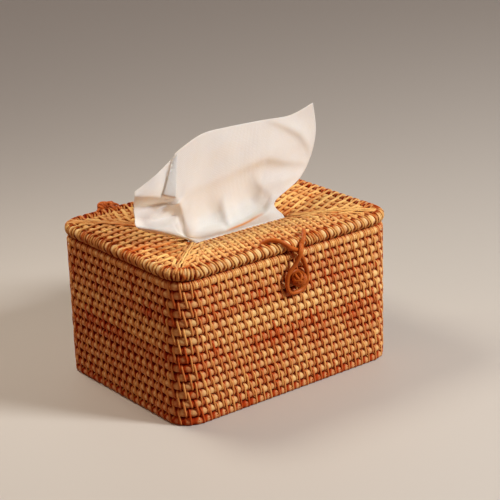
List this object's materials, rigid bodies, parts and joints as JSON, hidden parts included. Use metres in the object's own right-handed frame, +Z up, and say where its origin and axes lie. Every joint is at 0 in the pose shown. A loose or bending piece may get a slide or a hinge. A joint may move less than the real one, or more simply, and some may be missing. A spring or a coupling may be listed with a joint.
{
  "type": "tissue box cover",
  "caption": "Coiled rattan tissue box with a hinged slotted lid, tied hinges, a loop-and-knot closure and a tissue drawn up through the slot.",
  "frame": {"origin": "middle of the flat underside of the base's centre cane, on the surface that the basket stands on", "axes": "+X along the box's length, to the right as the closure is faced; +Y from the closure at the front to the hinges at the back; +Z up"},
  "size_m": [0.2066, 0.178, 0.1945],
  "materials": {
    "wall_rattan": "satin varnished cane, honey brown",
    "base_rattan": "plain cane",
    "lid_rattan": "satin varnished cane, honey",
    "binding_rattan": "split cane lashing, pale honey",
    "tie_cane": "split cane strand, orange brown",
    "loop_cane": "round cane cord, orange brown",
    "tissue": "matt embossed tissue paper, off-white"
  },
  "bodies": {
    "basket": {"wall_coil_01": "wall_rattan", "wall_coil_02": "wall_rattan", "wall_coil_03": "wall_rattan", "wall_coil_04": "wall_rattan", "wall_coil_05": "wall_rattan", "wall_coil_06": "wall_rattan", "wall_coil_07": "wall_rattan", "wall_coil_08": "wall_rattan", "wall_coil_09": "wall_rattan", "wall_coil_10": "wall_rattan", "wall_coil_11": "wall_rattan", "wall_coil_12": "wall_rattan", "wall_coil_13": "wall_rattan", "wall_coil_14": "wall_rattan", "wall_coil_15": "wall_rattan", "basket_rim_coil": "wall_rattan", "base_coil_01": "base_rattan", "base_coil_02": "base_rattan", "base_coil_03": "base_rattan", "base_coil_04": "base_rattan", "base_coil_05": "base_rattan", "base_coil_06": "base_rattan", "base_coil_07": "base_rattan", "base_coil_08": "base_rattan", "base_coil_09": "base_rattan", "base_coil_10": "base_rattan", "base_centre_cane": "base_rattan", "hinge_tie_left": "tie_cane", "hinge_tie_right": "tie_cane", "closure_knot": "loop_cane", "tissue_stack": "tissue"},
    "lid": {"lid_rim_coil": "lid_rattan", "lid_coil_1": "lid_rattan", "lid_coil_2": "lid_rattan", "lid_coil_3": "lid_rattan", "lid_coil_4": "lid_rattan", "lid_coil_5": "lid_rattan", "lid_coil_6": "lid_rattan", "slot_edge_coil": "lid_rattan", "mitre_lashing_front_left": "binding_rattan", "mitre_lashing_front_right": "binding_rattan", "mitre_lashing_back_left": "binding_rattan", "mitre_lashing_back_right": "binding_rattan", "loop_leg_left": "loop_cane", "loop_leg_right": "loop_cane"},
    "loop": {"closure_loop": "loop_cane"},
    "tissue": {"tissue_sheet": "tissue"}
  },
  "joints": [
    {"name": "lid_hinge", "type": "hinge", "parent": "basket", "child": "lid", "pos_m": [0, 0.075, 0.1166], "axis": [-1, 0, 0], "range_deg": [0, 100]},
    {"name": "loop_swing", "type": "hinge", "parent": "lid", "child": "loop", "pos_m": [0.0028, -0.0818, 0.1166], "axis": [-1, 0, 0], "range_deg": [0, 70]},
    {"name": "tissue_draw", "type": "slide", "parent": "lid", "child": "tissue", "axis": [0, 0, 1], "range_m": [0, 0.045]}
  ]
}
